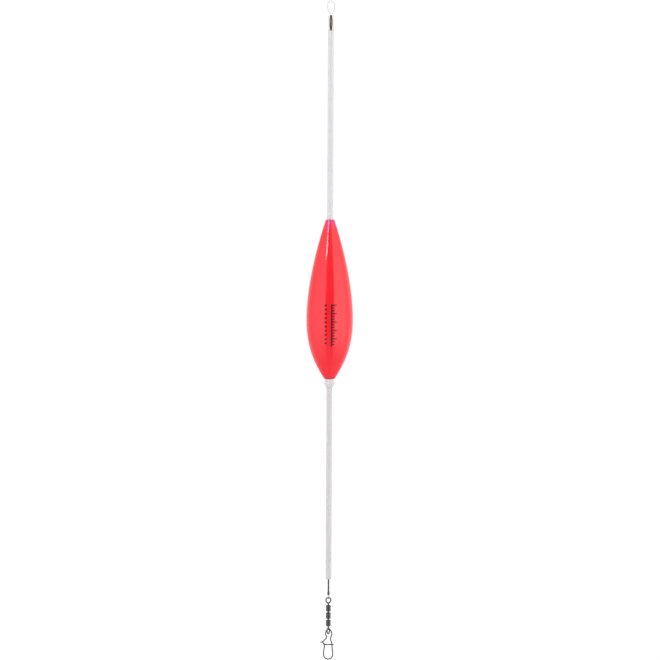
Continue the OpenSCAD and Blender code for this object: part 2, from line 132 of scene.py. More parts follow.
def smooth_path(points, steps):
    """A smooth curve through every point."""
    points = [Vector(p) for p in points]
    out = []
    for i in range(len(points) - 1):
        a, b = points[i], points[i + 1]
        length = (b - a).length
        start, end = slope(points, i) * length, slope(points, i + 1) * length
        for j in range(steps):
            t = j / steps
            out.append(
                a * (1 + 2 * t) * (1 - t) ** 2 + start * t * (1 - t) ** 2
                + b * t * t * (3 - 2 * t) - end * t * t * (1 - t)
            )
    out.append(points[-1])
    return out


def arc_xz(x, z, radius, first, last, steps):
    """Points on an arc in the XZ plane, from one angle to another in degrees."""
    angles = [math.radians(first + (last - first) * i / steps) for i in range(steps + 1)]
    return [(x + radius * math.cos(a), 0, z + radius * math.sin(a)) for a in angles]


def rounded(outline, radius, steps=5):
    """A closed outline of (radius, height) pairs with its corners rounded."""
    out = []
    count = len(outline)
    for i in range(count):
        corner = Vector(outline[i])
        before = Vector(outline[i - 1]) - corner
        after = Vector(outline[(i + 1) % count]) - corner
        cut = min(radius, before.length * 0.45, after.length * 0.45)
        a = corner + before.normalized() * cut
        b = corner + after.normalized() * cut
        for j in range(steps + 1):
            t = j / steps
            out.append(tuple(a * (1 - t) ** 2 + corner * 2 * t * (1 - t) + b * t * t))
    return out


# --- meshes ---

def piece(name, vertices, faces, body, node_name, slot, finish, sharp=50):
    """A smooth mesh that stands for a CAD node and moves with its body."""
    mesh = bpy.data.meshes.new(name)
    mesh.from_pydata([tuple(v) for v in vertices], [], faces)
    tidy = bmesh.new()
    tidy.from_mesh(mesh)
    bmesh.ops.remove_doubles(tidy, verts=tidy.verts, dist=0.0005 * MM)
    bmesh.ops.recalc_face_normals(tidy, faces=tidy.faces)
    tidy.to_mesh(mesh)
    tidy.free()
    mesh.polygons.foreach_set("use_smooth", [True] * len(mesh.polygons))
    mesh.set_sharp_from_angle(angle=math.radians(sharp))
    obj = bpy.data.objects.new(name, mesh)
    bpy.context.scene.collection.objects.link(obj)
    mesh.materials.append(finish)
    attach(obj, body)
    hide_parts(node_name)
    return obj


def ring_faces(rings, sides, closed=False):
    """Four-sided faces between neighbouring rings of points."""
    faces = []
    for i in range(rings if closed else rings - 1):
        upper = i * sides
        lower = (i + 1) % rings * sides
        for s in range(sides):
            following = (s + 1) % sides
            faces.append((upper + s, upper + following, lower + following, lower + s))
    return faces


def end_caps(rings, sides):
    """The two flat faces that close the first and the last ring of points."""
    last = (rings - 1) * sides
    return [tuple(range(sides - 1, -1, -1)), tuple(range(last, last + sides))]


def turned(outline, sides=96):
    """A closed outline of (radius, height) pairs turned round the Z axis."""
    vertices = []
    for radius, height in outline:
        for s in range(sides):
            angle = 2 * math.pi * s / sides
            vertices.append(Vector((radius * math.cos(angle), radius * math.sin(angle), height)))
    return vertices, ring_faces(len(outline), sides, closed=True)


def wire(path, radius, sides=20, tip=0.5):
    """A round wire along a path. radius is a length, or a function of the share of the way.

    tip says how much its ends are rounded, from 0 to 1.
    """
    width = radius if callable(radius) else lambda share: radius
    count = len(path)
    tangents = [(path[min(i + 1, count - 1)] - path[max(i - 1, 0)]).normalized() for i in range(count)]
    across = tangents[0].orthogonal().normalized()
    rings = []
    for i, (point, tangent) in enumerate(zip(path, tangents)):
        across = (across - tangent * across.dot(tangent)).normalized()
        rings.append((point, tangent, across, width(i / (count - 1))))
    tip_steps = 4
    for first in (True, False):
        point, tangent, side, size = rings[0] if first else rings[-1]
        back = -1 if first else 1
        for j in range(1, tip_steps + 1):
            angle = math.pi / 2 * j / tip_steps
            extra = (point + tangent * (back * tip * size * math.sin(angle)), tangent, side,
                     max(size * (math.cos(angle) * tip + 1 - tip), 0))
            if first:
                rings.insert(0, extra)
            else:
                rings.append(extra)
    vertices = []
    for point, tangent, side, size in rings:
        other = tangent.cross(side)
        for s in range(sides):
            angle = 2 * math.pi * s / sides
            vertices.append(point + size * (side * math.cos(angle) + other * math.sin(angle)))
    return vertices, ring_faces(len(rings), sides) + end_caps(len(rings), sides)


def joined(*parts):
    """Several meshes as one, each closed in itself."""
    vertices, faces = [], []
    for part_vertices, part_faces in parts:
        first = len(vertices)
        vertices += list(part_vertices)
        faces += [tuple(first + index for index in face) for face in part_faces]
    return vertices, faces


# --- node building ---

def linear(red, green, blue):
    """A screen colour of 0 to 255 as a linear colour."""
    def channel(value):
        share = value / 255
        return share / 12.92 if share <= 0.04045 else ((share + 0.055) / 1.055) ** 2.4
    return (channel(red), channel(green), channel(blue), 1)


class Maker:
    """Adds nodes to a node tree and joins them up."""

    def __init__(self, tree):
        self.tree = tree

    def add(self, kind, settings=None, **inputs):
        """A node, with its settings and its inputs, by name, as values or as other nodes' outputs."""
        made = self.tree.nodes.new(kind)
        for key, value in (settings or {}).items():
            setattr(made, key, value)
        for key, value in inputs.items():
            self.feed(made.inputs[key.replace("_", " ")], value)
        return made

    def feed(self, socket, value):
        if isinstance(value, bpy.types.NodeSocket):
            self.tree.links.new(value, socket)
        else:
            socket.default_value = value

    def sum(self, operation, *values, clamp=False):
        """A Math node's output."""
        made = self.tree.nodes.new("ShaderNodeMath")
        made.operation = operation
        made.use_clamp = clamp
        for socket, value in zip(made.inputs, values):
            self.feed(socket, value)
        return made.outputs[0]

    def blend(self, share, a, b):
        """A colour between a and b."""
        made = self.tree.nodes.new("ShaderNodeMix")
        made.data_type = "RGBA"
        self.feed(made.inputs["Factor"], share)
        self.feed(made.inputs[6], a)
        self.feed(made.inputs[7], b)
        return made.outputs[2]

    def ramp(self, value, low, high, to_low=0, to_high=1):
        """A value stretched from one range to another, smoothly, and held at its ends."""
        made = self.add(
            "ShaderNodeMapRange", {"interpolation_type": "SMOOTHSTEP"},
            Value=value, From_Min=low, From_Max=high, To_Min=to_low, To_Max=to_high)
        return made.outputs["Result"]

    def noise(self, place, scale, detail=2, stretch=(1, 1, 1)):
        """Noise of a given scale, in cycles per metre, at a place."""
        moved = self.add("ShaderNodeMapping", Vector=place, Scale=stretch)
        made = self.add("ShaderNodeTexNoise", Vector=moved.outputs[0], Scale=scale, Detail=detail)
        return made.outputs["Fac"]


def effect(name, inputs, outputs):
    """An empty shader node group with named inputs and outputs, and its maker."""
    group = bpy.data.node_groups.new(name, "ShaderNodeTree")
    for label, kind, value in inputs:
        socket = group.interface.new_socket(label, in_out="INPUT", socket_type="NodeSocket" + kind)
        if value is not None:
            socket.default_value = value
    for label, kind in outputs:
        group.interface.new_socket(label, in_out="OUTPUT", socket_type="NodeSocket" + kind)
    entry = group.nodes.new("NodeGroupInput")
    leave = group.nodes.new("NodeGroupOutput")
    return group, Maker(group), entry.outputs, leave.inputs


def material(name):
    """A material with its maker, its Principled shader and its object coordinates."""
    made = bpy.data.materials.new(name)
    made.use_nodes = True
    tree = made.node_tree
    shader = tree.nodes["Principled BSDF"]
    place = tree.nodes.new("ShaderNodeTexCoord").outputs["Object"]
    return made, Maker(tree), shader, place


def use(maker, group, **inputs):
    """A placed node group's outputs."""
    made = maker.tree.nodes.new("ShaderNodeGroup")
    made.node_tree = group
    for key, value in inputs.items():
        maker.feed(made.inputs[key.replace("_", " ")], value)
    return made.outputs


# --- shared effects ---

def make_marks():
    """Fine hairlines and specks from handling: a mask, and a height in metres."""
    group, maker, given, out = effect(
        "handling_marks",
        [("Place", "Vector", None), ("Hairlines", "Float", 0.5), ("Specks", "Float", 0.5)],
        [("Mask", "Float"), ("Height", "Float")])
    lines = maker.noise(given["Place"], 260, 3, (1, 1, 0.06))
    line_mask = maker.ramp(lines, 0.62, 0.66)
    specks = maker.add("ShaderNodeTexVoronoi", Vector=given["Place"], Scale=900)
    near = maker.ramp(specks.outputs["Distance"], 0.12, 0.04)
    rare = maker.ramp(maker.noise(given["Place"], 340, 1), 0.6, 0.66)
    speck_mask = maker.sum("MULTIPLY", near, rare)
    both = maker.sum(
        "ADD", maker.sum("MULTIPLY", line_mask, given["Hairlines"]),
        maker.sum("MULTIPLY", speck_mask, given["Specks"]), clamp=True)
    maker.feed(out["Mask"], both)
    maker.feed(out["Height"], maker.sum("MULTIPLY", both, 0.004 * MM))
    return group


def make_mottle():
    """Slow unevenness of a moulded or dipped surface: a mask, and a rippled height in metres."""
    group, maker, given, out = effect(
        "slow_mottle",
        [("Place", "Vector", None), ("Scale", "Float", 200), ("Ripple", "Float", 0.01)],
        [("Mask", "Float"), ("Height", "Float")])
    broad = maker.add("ShaderNodeTexNoise", Vector=given["Place"], Scale=given["Scale"], Detail=3)
    maker.feed(out["Mask"], maker.ramp(broad.outputs["Fac"], 0.3, 0.7))
    ripple = maker.sum("MULTIPLY", broad.outputs["Fac"], given["Ripple"])
    maker.feed(out["Height"], maker.sum("MULTIPLY", ripple, MM))
    return group


def make_wear():
    """Plating rubbed through on edges and high spots: a mask."""
    group, maker, given, out = effect(
        "plating_wear",
        [("Place", "Vector", None), ("Edge", "Float", 0.5), ("Scale", "Float", 1500)],
        [("Mask", "Float")])
    geometry = maker.add("ShaderNodeNewGeometry")
    high = maker.ramp(geometry.outputs["Pointiness"], 0.5, 0.62)
    broken = maker.add("ShaderNodeTexNoise", Vector=given["Place"], Scale=given["Scale"], Detail=4)
    patchy = maker.ramp(broken.outputs["Fac"], 0.42, 0.62)
    edge = maker.sum("MULTIPLY", maker.sum("MULTIPLY", high, patchy), given["Edge"])
    maker.feed(out["Mask"], maker.sum("ADD", edge, 0, clamp=True))
    return group


MARKS = make_marks()
MOTTLE = make_mottle()
WEAR = make_wear()


# --- materials ---

LACQUER_RED = linear(224, 24, 40)
DEEP_RED = linear(220, 21, 37)
TIP_MAGENTA = linear(214, 50, 118)
DARKER_BOTTOM_EDGE = linear(180, 40, 62)
INK = linear(26, 16, 20)


def bumped(maker, shader, height):
    """Leads a height in metres to a shader's normal."""
    bump = maker.add("ShaderNodeBump", Height=height, Distance=1.0, Strength=1.0)
    maker.feed(shader.inputs["Normal"], bump.outputs["Normal"])


def surface(maker, place, scale, ripple, hairlines, specks):
    """The slow mottle and the handling marks of one surface: two masks and one height."""
    mottle = use(maker, MOTTLE, Place=place, Scale=scale, Ripple=ripple)
    marks = use(maker, MARKS, Place=place, Hairlines=hairlines, Specks=specks)
    return mottle["Mask"], marks["Mask"], maker.sum("ADD", mottle["Height"], marks["Height"])


def magenta_share(maker, place):
    """How much of the tip's magenta shows: full at the tip, gone a little way down."""
    height = maker.add("ShaderNodeSeparateXYZ", Vector=place).outputs["Z"]
    cloud = maker.sum("MULTIPLY", maker.sum("SUBTRACT", maker.noise(place, 350, 2), 0.5), 2.4 * MM)
    fade = maker.add(
        "ShaderNodeMapRange", Value=maker.sum("ADD", height, cloud),
        From_Min=BODY_TOP - 8.2 * MM, From_Max=BODY_TOP).outputs["Result"]
    return maker.sum("POWER", fade, 1.7)


def scale_print(maker, place):
    """A printed measuring scale on the front: a rule with long and short strokes and a row of dashes."""
    parts = maker.add("ShaderNodeSeparateXYZ", Vector=place).outputs
    front = maker.sum("LESS_THAN", parts["Y"], 0)
    top = BODY_TOP - 51 * MM
    length = 25.2 * MM
    along = maker.sum("DIVIDE", maker.sum("SUBTRACT", top, parts["Z"]), length)
    inside = maker.sum(
        "MULTIPLY", maker.sum("GREATER_THAN", along, 0), maker.sum("LESS_THAN", along, 1))

    def bar(left, right):
        return maker.sum("MULTIPLY", maker.sum("GREATER_THAN", parts["X"], left),
                         maker.sum("LESS_THAN", parts["X"], right))

    def strokes(count, share):
        phase = maker.sum("FRACT", maker.sum("MULTIPLY", along, count))
        return maker.sum("LESS_THAN", phase, share)

    rule = bar(0.7 * MM, 1.5 * MM)
    long_strokes = maker.sum("MULTIPLY", strokes(5, 0.16), bar(1.4 * MM, 4.3 * MM))
    short_strokes = maker.sum("MULTIPLY", strokes(15, 0.42), bar(1.4 * MM, 3 * MM))
    dashes = maker.sum("MULTIPLY", strokes(10, 0.45), bar(-3.1 * MM, -1.7 * MM))
    drawn = maker.sum("MAXIMUM", rule, maker.sum("MAXIMUM", long_strokes, short_strokes))
    drawn = maker.sum("MAXIMUM", drawn, dashes)
    return maker.sum("MULTIPLY", maker.sum("MULTIPLY", drawn, inside), front)


def lacquer():
    """Fluorescent red lacquer, magenta where the tip was dipped, with a printed scale and a faint painted
    glow.
    """
    made, maker, shader, place = material("red_lacquer")
    mottle, marks, height = surface(maker, place, 90.0, 0.004, 0.35, 0.5)
    red = maker.blend(mottle, LACQUER_RED, DEEP_RED)
    tinted = maker.blend(magenta_share(maker, place), red, TIP_MAGENTA)
    # The body turns darker and less saturated over its lowest 1.5 mm.
    height_above = maker.sum(
        "SUBTRACT", maker.add("ShaderNodeSeparateXYZ", Vector=place).outputs["Z"], BODY_LOW)
    rim = maker.ramp(height_above, 0.2 * MM, 1.5 * MM, 0.8, 0)
    tinted = maker.blend(rim, tinted, DARKER_BOTTOM_EDGE)
    printed = scale_print(maker, place)
    worn_ink = maker.sum("MULTIPLY", printed, maker.ramp(maker.noise(place, 1500, 3), 0.3, 0.42, 0.7, 0.94))
    colour = maker.blend(worn_ink, tinted, INK)
    maker.feed(shader.inputs["Base Color"], colour)
    # The colour is also fed in as a faint emission: a painted glow that flattens the body's shading.
    maker.feed(shader.inputs["Emission Color"], colour)
    shader.inputs["Emission Strength"].default_value = 0.08
    rough = maker.ramp(marks, 0, 1, 0.06, 0.28)
    maker.feed(shader.inputs["Roughness"], maker.sum("ADD", rough, maker.sum("MULTIPLY", printed, 0.1)))
    bumped(maker, shader, height)
    return made


def tip_plastic():
    """The bush's magenta plastic, a little cloudy."""
    made, maker, shader, place = material("magenta_plastic")
    mottle, marks, height = surface(maker, place, 500.0, 0.004, 0.6, 0.4)
    cloudy = maker.blend(mottle, TIP_MAGENTA, linear(204, 56, 124))
    maker.feed(shader.inputs["Base Color"], cloudy)
    maker.feed(shader.inputs["Roughness"], maker.ramp(marks, 0, 1, 0.16, 0.4))
    bumped(maker, shader, height)
    return made


def milky(name, pale, deep, alpha, rough, streak):
    """Milky plastic that lets a little light and shadow through, with long flow lines."""
    made, maker, shader, place = material(name)
    flow = maker.noise(place, 900, 2, (1, 1, streak))
    mottle, marks, height = surface(maker, place, 120.0, 0.004, 0.5, 0.5)
    share = maker.sum("MULTIPLY", maker.ramp(flow, 0.3, 0.7), mottle)
    maker.feed(shader.inputs["Base Color"], maker.blend(share, pale, deep))
    maker.feed(shader.inputs["Roughness"], maker.ramp(marks, 0, 1, rough, rough + 0.2))
    maker.feed(shader.inputs["Alpha"], maker.ramp(share, 0, 1, alpha, alpha + 0.04))
    bumped(maker, shader, height)
    return made


def clear(name, face, rim, rough, ior):
    """Clear plastic with painted shade that darkens it towards its rims, and faint flow lines."""
    made, maker, shader, place = material(name)
    mottle, marks, height = surface(maker, place, 300.0, 0.003, 0.6, 0.5)
    # Painted shade: the colour darkens towards the rims, standing in for the darker surroundings seen
    # through refraction.
    painted_rim_shade = maker.add("ShaderNodeLayerWeight", Blend=0.5).outputs["Facing"]
    pale = maker.blend(mottle, face, tuple(c * 0.97 for c in face[:3]) + (1,))
    maker.feed(shader.inputs["Base Color"], maker.blend(painted_rim_shade, pale, rim))
    maker.feed(shader.inputs["Roughness"], maker.ramp(marks, 0, 1, rough, rough + 0.2))
    shader.inputs["Transmission Weight"].default_value = 1
    shader.inputs["IOR"].default_value = ior
    bumped(maker, shader, height)
    return made


def plated(name, dark, wear_and_highlight_tone, rough, edge, scale, grain=(1, 1, 1), rim=0.35, painted_highlight_flat=None):
    """Dark plating on metal, rubbed lighter on its edges, with a painted highlight on a flat that runs
    between two heights.
    """
    made, maker, shader, place = material(name)
    wear = use(maker, WEAR, Place=place, Edge=edge, Scale=scale)
    brushed = maker.ramp(maker.noise(place, 2600, 3, grain), 0.3, 0.7)
    toned = maker.blend(maker.sum("MULTIPLY", brushed, 0.18), dark, wear_and_highlight_tone)
    if painted_highlight_flat:
        # Painted highlight: a lighter patch on the pressed flat, where light glints off it.
        parts = maker.add("ShaderNodeSeparateXYZ", Vector=place).outputs
        aside = maker.sum("ABSOLUTE", maker.sum("ADD", parts[painted_highlight_flat[0]], maker.sum(
            "MULTIPLY", maker.sum("SUBTRACT", parts["Z"], (painted_highlight_flat[1] + painted_highlight_flat[2]) / 2), 0.05)))
        flat = maker.ramp(aside, 0.2 * MM, 0.5 * MM, 0.75, 0)
        low_end = maker.ramp(parts["Z"], painted_highlight_flat[1], painted_highlight_flat[1] + 1.5 * MM)
        high_end = maker.ramp(parts["Z"], painted_highlight_flat[2] - 1.5 * MM, painted_highlight_flat[2], 1, 0)
        painted_highlight = maker.sum("MULTIPLY", flat, maker.sum("MULTIPLY", low_end, high_end))
        toned = maker.blend(painted_highlight, toned, wear_and_highlight_tone)
    maker.feed(shader.inputs["Base Color"], maker.blend(wear["Mask"], toned, wear_and_highlight_tone))
    maker.feed(shader.inputs["Roughness"], maker.ramp(brushed, 0, 1, rough, rough + 0.14))
    shader.inputs["Metallic"].default_value = 1
    shader.inputs["Specular Tint"].default_value = (rim, rim, rim, 1)
    bumped(maker, shader, maker.sum("MULTIPLY", brushed, 0.004 * MM))
    return made


RED_LACQUER = lacquer()
MAGENTA = tip_plastic()
UPPER_MILKY = milky("milky_upper_tube", linear(218, 218, 221), linear(215, 214, 217), 0.7, 0.42, 0.02)
# The lower tube is a darker copy of the same milky tubing: painted shade.
SHADED_LOWER_MILKY = milky("milky_lower_tube_shaded", linear(211, 209, 210), linear(207, 205, 206), 0.74, 0.42, 0.02)
MILKY_COLLAR = milky("milky_collar", linear(221, 215, 218), linear(213, 208, 210), 0.8, 0.14, 0.2)
# The rim colours of the line and the sleeve are painted shade.
CLEAR_LINE = clear("clear_line", linear(226, 226, 227), linear(128, 128, 130), 0.1, 1.5)
CLEAR_SLEEVE = clear("clear_silicone", linear(250, 248, 246), linear(214, 210, 208), 0.12, 1.41)
# The upper crimp carries a painted highlight on its pressed flat; its edges show real wear.
UPPER_CRIMP = plated(
    "upper_crimp_metal", linear(36, 29, 26), linear(156, 146, 136), 0.3, 0.7, 1400,
    painted_highlight_flat=("X", span("top_crimp")[0] + 1.6 * MM, span("top_crimp")[1] - 1.2 * MM))
LOWER_CRIMP = plated("lower_crimp_metal", linear(70, 69, 63), linear(140, 136, 128), 0.34, 0.6, 1400)
BLACK_NICKEL = plated("black_nickel", linear(68, 68, 69), linear(140, 140, 142), 0.26, 0.6, 1800)
SNAP_STEEL = plated("snap_steel", linear(36, 36, 37), linear(120, 120, 121), 0.28, 0.4, 1800, rim=0.15)
WHITE_CORE = milky("white_plastic", linear(232, 232, 228), linear(222, 222, 217), 0.9, 0.45, 0.02)
BALLAST = plated(
    "ballast_brass", linear(196, 160, 84), linear(228, 200, 130), 0.3, 0.6, 900,
    grain=(1, 1, 12), rim=0.9)


# --- leader ---

LINE_R = 0.25 * MM
STRAND_X = 0.265 * MM
STEPS = 6


def leader():
    """The clear line: the top loop, the run through the tubes and the small loop that carries the swivel."""
    low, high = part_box("leader_line")
    half = min(-low.x, high.x) - LINE_R
    crest_top = high.z - LINE_R
    crest_drop = 1.9 * MM
    straight = 2.8 * MM
    power = 1.45
    crest_foot = crest_top - crest_drop
    taper_top = crest_foot - straight
    top_mouth = span("top_crimp")[1]
    top_end = span("top_crimp")[0]
    lower_mouth, lower_top = span("bottom_crimp")
    small_r = 0.75 * MM
    small_z = low.z + LINE_R + small_r
    mouth = 1 * MM
    settle = 5 * MM

    def top_side(side):
        return [(side * (half + (STRAND_X - half) * ease(i / 4)), 0,
                 taper_top + (top_mouth - taper_top) * i / 4) for i in range(5)]

    def small_side(side):
        return [(0, side * (STRAND_X + (small_r - STRAND_X) * ease(i / 4)),
                 lower_mouth + (small_z - lower_mouth) * i / 4) for i in range(5)]

    crest = []
    for i in range(13):
        angle = math.radians(180 - 15 * i)
        share = abs(math.cos(angle)) ** power
        crest.append((math.copysign(half * share, math.cos(angle)), 0,
                      crest_foot + crest_drop * max(math.sin(angle), 0) ** power))
    bottom = []
    for i in range(1, 10):
        angle = math.radians(18 * i)
        bottom.append((0, small_r * math.cos(angle), small_z - small_r * math.sin(angle)))
    middle = (crest_foot + taper_top) / 2
    route = (
        [(-STRAND_X, 0, top_end + LINE_R), (-STRAND_X, 0, top_mouth - mouth)]
        + top_side(-1)[::-1] + [(-half, 0, middle)] + crest + [(half, 0, middle)] + top_side(1)
        + [(STRAND_X, 0, top_mouth - mouth), (STRAND_X, 0, top_end), (0, 0, top_end - settle),
           (0, 0, top_end - 2 * settle), (0, 0, lower_top + 2 * settle), (0, 0, lower_top + settle),
           (0, STRAND_X, lower_top), (0, STRAND_X, lower_mouth + mouth)]
        + small_side(1) + bottom + small_side(-1)[::-1]
        + [(0, -STRAND_X, lower_mouth + mouth), (0, -STRAND_X, lower_top - LINE_R)])
    mesh = wire(smooth_path(route, STEPS), LINE_R, 20)
    return piece("leader", *mesh, "leader", "leader_line", "clear_line", CLEAR_LINE)


# --- crimps ---

def crimp(name, node_name, quarter_turn, bites, finish):
    """A metal sleeve pressed flat round two strands, with the marks of the pliers' jaws."""
    low, high = span(node_name)
    length = high - low
    end_r = 1.35 / 2 * MM
    flat_w = 1.95 / 2 * MM
    flat_t = 1.0 / 2 * MM
    end_len = 0.8 * MM
    blend_len = 2.4 * MM
    sides = 48
    steps = 72
    slot_w = 0.545 * MM
    slot_t = 0.28 * MM
    lip = 0.12 * MM
    slot_depth = 0.9 * MM
    bite_depth = 0.16

    def press(drop):
        near = min(drop, length - drop)
        return ease(min(1, max(0, near - end_len) / blend_len))

    def ring(width, thick, height, bite=0.0):
        points = []
        for s in range(sides):
            angle = 2 * math.pi * (s + 0.5) / sides
            flat = width - thick
            shift = math.copysign(flat, math.cos(angle)) * min(1, abs(math.cos(angle)) * 3)
            x = shift + thick * math.cos(angle)
            y = thick * math.sin(angle)
            y *= 1 - bite * math.exp(-(x / (0.62 * width)) ** 2)
            points.append(Vector((x, y, height)))
        return points

    rings = [ring(slot_w, slot_t, high - slot_depth), ring(slot_w, slot_t, high - lip),
             ring(end_r - lip, end_r - lip, high)]
    for i in range(steps + 1):
        drop = lip + (length - 2 * lip) * i / steps
        f = press(drop)
        wave = (1 - math.cos(2 * math.pi * bites * (drop - end_len) / (length - 2 * end_len))) / 2
        width = end_r + (flat_w - end_r) * f
        thick = end_r + (flat_t - end_r) * f
        rings.append(ring(width, thick, high - drop, bite_depth * wave * f))
    rings += [ring(end_r - lip, end_r - lip, low), ring(slot_w, slot_t, low + lip),
              ring(slot_w, slot_t, low + slot_depth)]
    vertices = [point for one in rings for point in one]
    if quarter_turn:
        vertices = [Vector((-v.y, v.x, v.z)) for v in vertices]
    faces = ring_faces(len(rings), sides) + end_caps(len(rings), sides)
    return piece(name, vertices, faces, "leader", node_name, "crimp_metal", finish, 60)


# --- stopper sleeve and tubes ---

def stopper():
    """The soft clear sleeve over the top crimp, with its spigot in the guide tube."""
    low, high = span("stopper_sleeve")
    outer = reach("stopper_sleeve")
    tube_top = span("upper_tube")[1]
    hole = 1.03 * MM
    spigot = 1.05 * MM
    spigot_hole = 0.7 * MM
    shoulder = tube_top + 0.05 * MM
    floor_z = shoulder + 0.2 * MM
    waist = 0.06 * MM
    outline = [(hole, high), (outer, high), (outer - waist, (high + shoulder) / 2),
               (outer, shoulder + 0.6 * MM), (outer, shoulder), (spigot, shoulder), (spigot, low),
               (spigot_hole, low), (spigot_hole, floor_z), (hole, floor_z)]
    mesh = turned(rounded(outline, 0.22 * MM, 6), 64)
    return piece("stopper", *mesh, "stopper", "stopper_sleeve", "clear_silicone", CLEAR_SLEEVE)


def guide_tube(name, node_name, finish):
    """A length of milky tubing with a softened edge at each cut end."""
    low, high = span(node_name)
    outer = reach(node_name)
    hole = bore(node_name)
    edge = 0.1 * MM
    outline = rounded([(hole, high), (outer, high), (outer, low), (hole, low)], edge, 4)
    bowed = []
    for i, (radius, height) in enumerate(outline):
        bowed.append((radius, height))
        following = outline[(i + 1) % len(outline)]
        if abs(following[1] - height) > 20 * MM:
            count = 40
            for j in range(1, count):
                bowed.append((radius, height + (following[1] - height) * j / count))
    mesh = turned(bowed, 64)
    return piece(name, *mesh, "float", node_name, "milky_tube", finish)


# --- body ---

def body():
    """The lacquered body, turned from its own outline, open where the core tube and its plugs go in."""
    hole = PLUG_R + SEAT_FIT
    seam = 0.04 * MM
    outline = body_outline(BUSH_LEN, BODY_LEN, 150)
    top_z = BODY_TOP - BUSH_LEN
    outline[0] = (outline[0][0] - seam, top_z)
    outline.insert(1, (body_radius(BUSH_LEN + seam), top_z - seam))
    closed = [(hole, top_z)] + outline + [(hole, BODY_LOW)]
    return piece("body", *turned(closed, 160), "float", "float_body", "red_lacquer", RED_LACQUER)


def tip_bush():
    """The magenta bush that ends the body, with its plug inside and its lip round the guide tube."""
    hole = bore("top_bush")
    low = span("top_bush")[0]
    seat = BODY_TOP - BUSH_LEN + SEAT_FIT
    lip = 0.12 * MM
    outline = body_outline(0, BUSH_LEN - SEAT_FIT, 16)
    closed = (
        [(hole, BODY_TOP - lip), (hole + lip, BODY_TOP)] + outline
        + [(PLUG_R, seat), (PLUG_R, low), (hole, low)])
    return piece("tip_bush", *turned(closed, 96), "float", "top_bush", "magenta_plastic", MAGENTA)


def collar():
    """The milky collar under the body, bellied near its top, with a rounded lip round the lower tube."""
    low, high = span("lower_collar")
    hole = bore("lower_collar")
    top_r = 2.5 * MM
    belly_r = reach("lower_collar")
    low_r = 2.2 * MM
    belly_at = 2.5 * MM
    length = BODY_LOW - low
    lip = 0.3 * MM
    steps = 40
    outline = []
    for i in range(steps + 1):
        drop = SEAT_FIT + (length - SEAT_FIT) * i / steps
        if drop < belly_at:
            radius = top_r + (belly_r - top_r) * ease(drop / belly_at)
        else:
            radius = belly_r - (belly_r - low_r) * ease((drop - belly_at) / (length - belly_at))
        left = length - drop
        if left < lip:
            radius -= lip - math.sqrt(lip ** 2 - (lip - left) ** 2)
        outline.append((max(radius, hole + 0.05 * MM), BODY_LOW - drop))
    seat = BODY_LOW - SEAT_FIT
    closed = [(hole, high), (PLUG_R, high), (PLUG_R, seat)] + outline + [(hole, low + 0.05 * MM)]
    return piece("collar", *turned(closed, 96), "float", "lower_collar", "milky_collar", MILKY_COLLAR)


# --- swivel ---

EYE_WIRE_R = 0.375 * MM
PIN_R = 0.45 * MM
HEAD_R = 0.85 * MM
HEAD_T = 0.6 * MM
BARREL_WALL = 0.35 * MM
RUN_FIT = 0.05 * MM


def rod(radius, high, low, flare=0.0):
    """A solid round rod with softened ends, which may flare at its lower end."""
    edge = min(radius, high - low) * 0.3
    outline = [(0, high), (radius - edge, high), (radius, high - edge)]
    if flare:
        outline += [(radius, low + 2 * flare), (radius + flare * 0.4, low + 0.7 * flare),
                    (radius + flare, low)]
    else:
        outline += [(radius, low + edge), (radius - edge, low)]
    outline.append((0, low))
    return turned_solid(outline)


def turned_solid(outline, sides=40):
    """An open outline that starts and ends on the axis, turned into a solid."""
    vertices, _ = turned(outline, sides)
    return vertices, ring_faces(len(outline), sides)


def headed_pin(end_face, down):
    """The part of a pin inside a barrel: its shank through the wall, and its head."""
    shank = BARREL_WALL + RUN_FIT
    vertices, faces = joined(
        rod(PIN_R, 0.1 * MM, -shank - HEAD_T / 2),
        turned_solid([(0, -shank), (HEAD_R - 0.1 * MM, -shank), (HEAD_R, -shank - 0.1 * MM),
                      (HEAD_R, -shank - HEAD_T + 0.2 * MM), (HEAD_R - 0.25 * MM, -shank - HEAD_T),
                      (0, -shank - HEAD_T)]))
    return [Vector((v.x, v.y, end_face + v.z * down)) for v in vertices], faces


def eye(name, node_name, body_name, face, up, turn):
    """An eye bent from one wire, closed against its own neck, above the pin that turns in the barrel."""
    ring_r = 1.475 * MM
    throat = 2.35 * MM
    neck = 0.6 * MM
    lean = math.asin(ring_r / throat)
    centre = neck + throat
    arc = []
    steps = 22
    for i in range(steps + 1):
        angle = -lean + (math.pi + 2 * lean) * i / steps
        arc.append(Vector((ring_r * math.cos(angle), 0, centre + ring_r * math.sin(angle))))
    start = Vector((0, 0, neck - 0.25 * MM))
    foot = Vector((0.06 * MM, 0, neck + 0.12 * MM))
    closing = Vector((-0.3 * MM, 0, neck + 0.5 * MM))
    route = [start, foot] + arc + [closing]
    loop = wire(smooth_path(route, 4), EYE_WIRE_R, 24, 0.7)
    shank = rod(PIN_R, neck + 0.3 * MM, -0.05 * MM, 0.12 * MM)
    vertices, faces = joined(loop, shank, headed_pin(0, 1))
    spin = Matrix.Rotation(math.radians(turn), 3, "Z")
    placed = []
    for vertex in vertices:
        point = spin @ vertex
        placed.append(Vector((point.x, point.y, face + point.z * up)))
    return piece(name, placed, faces, body_name, node_name, "black_nickel", BLACK_NICKEL, 60)


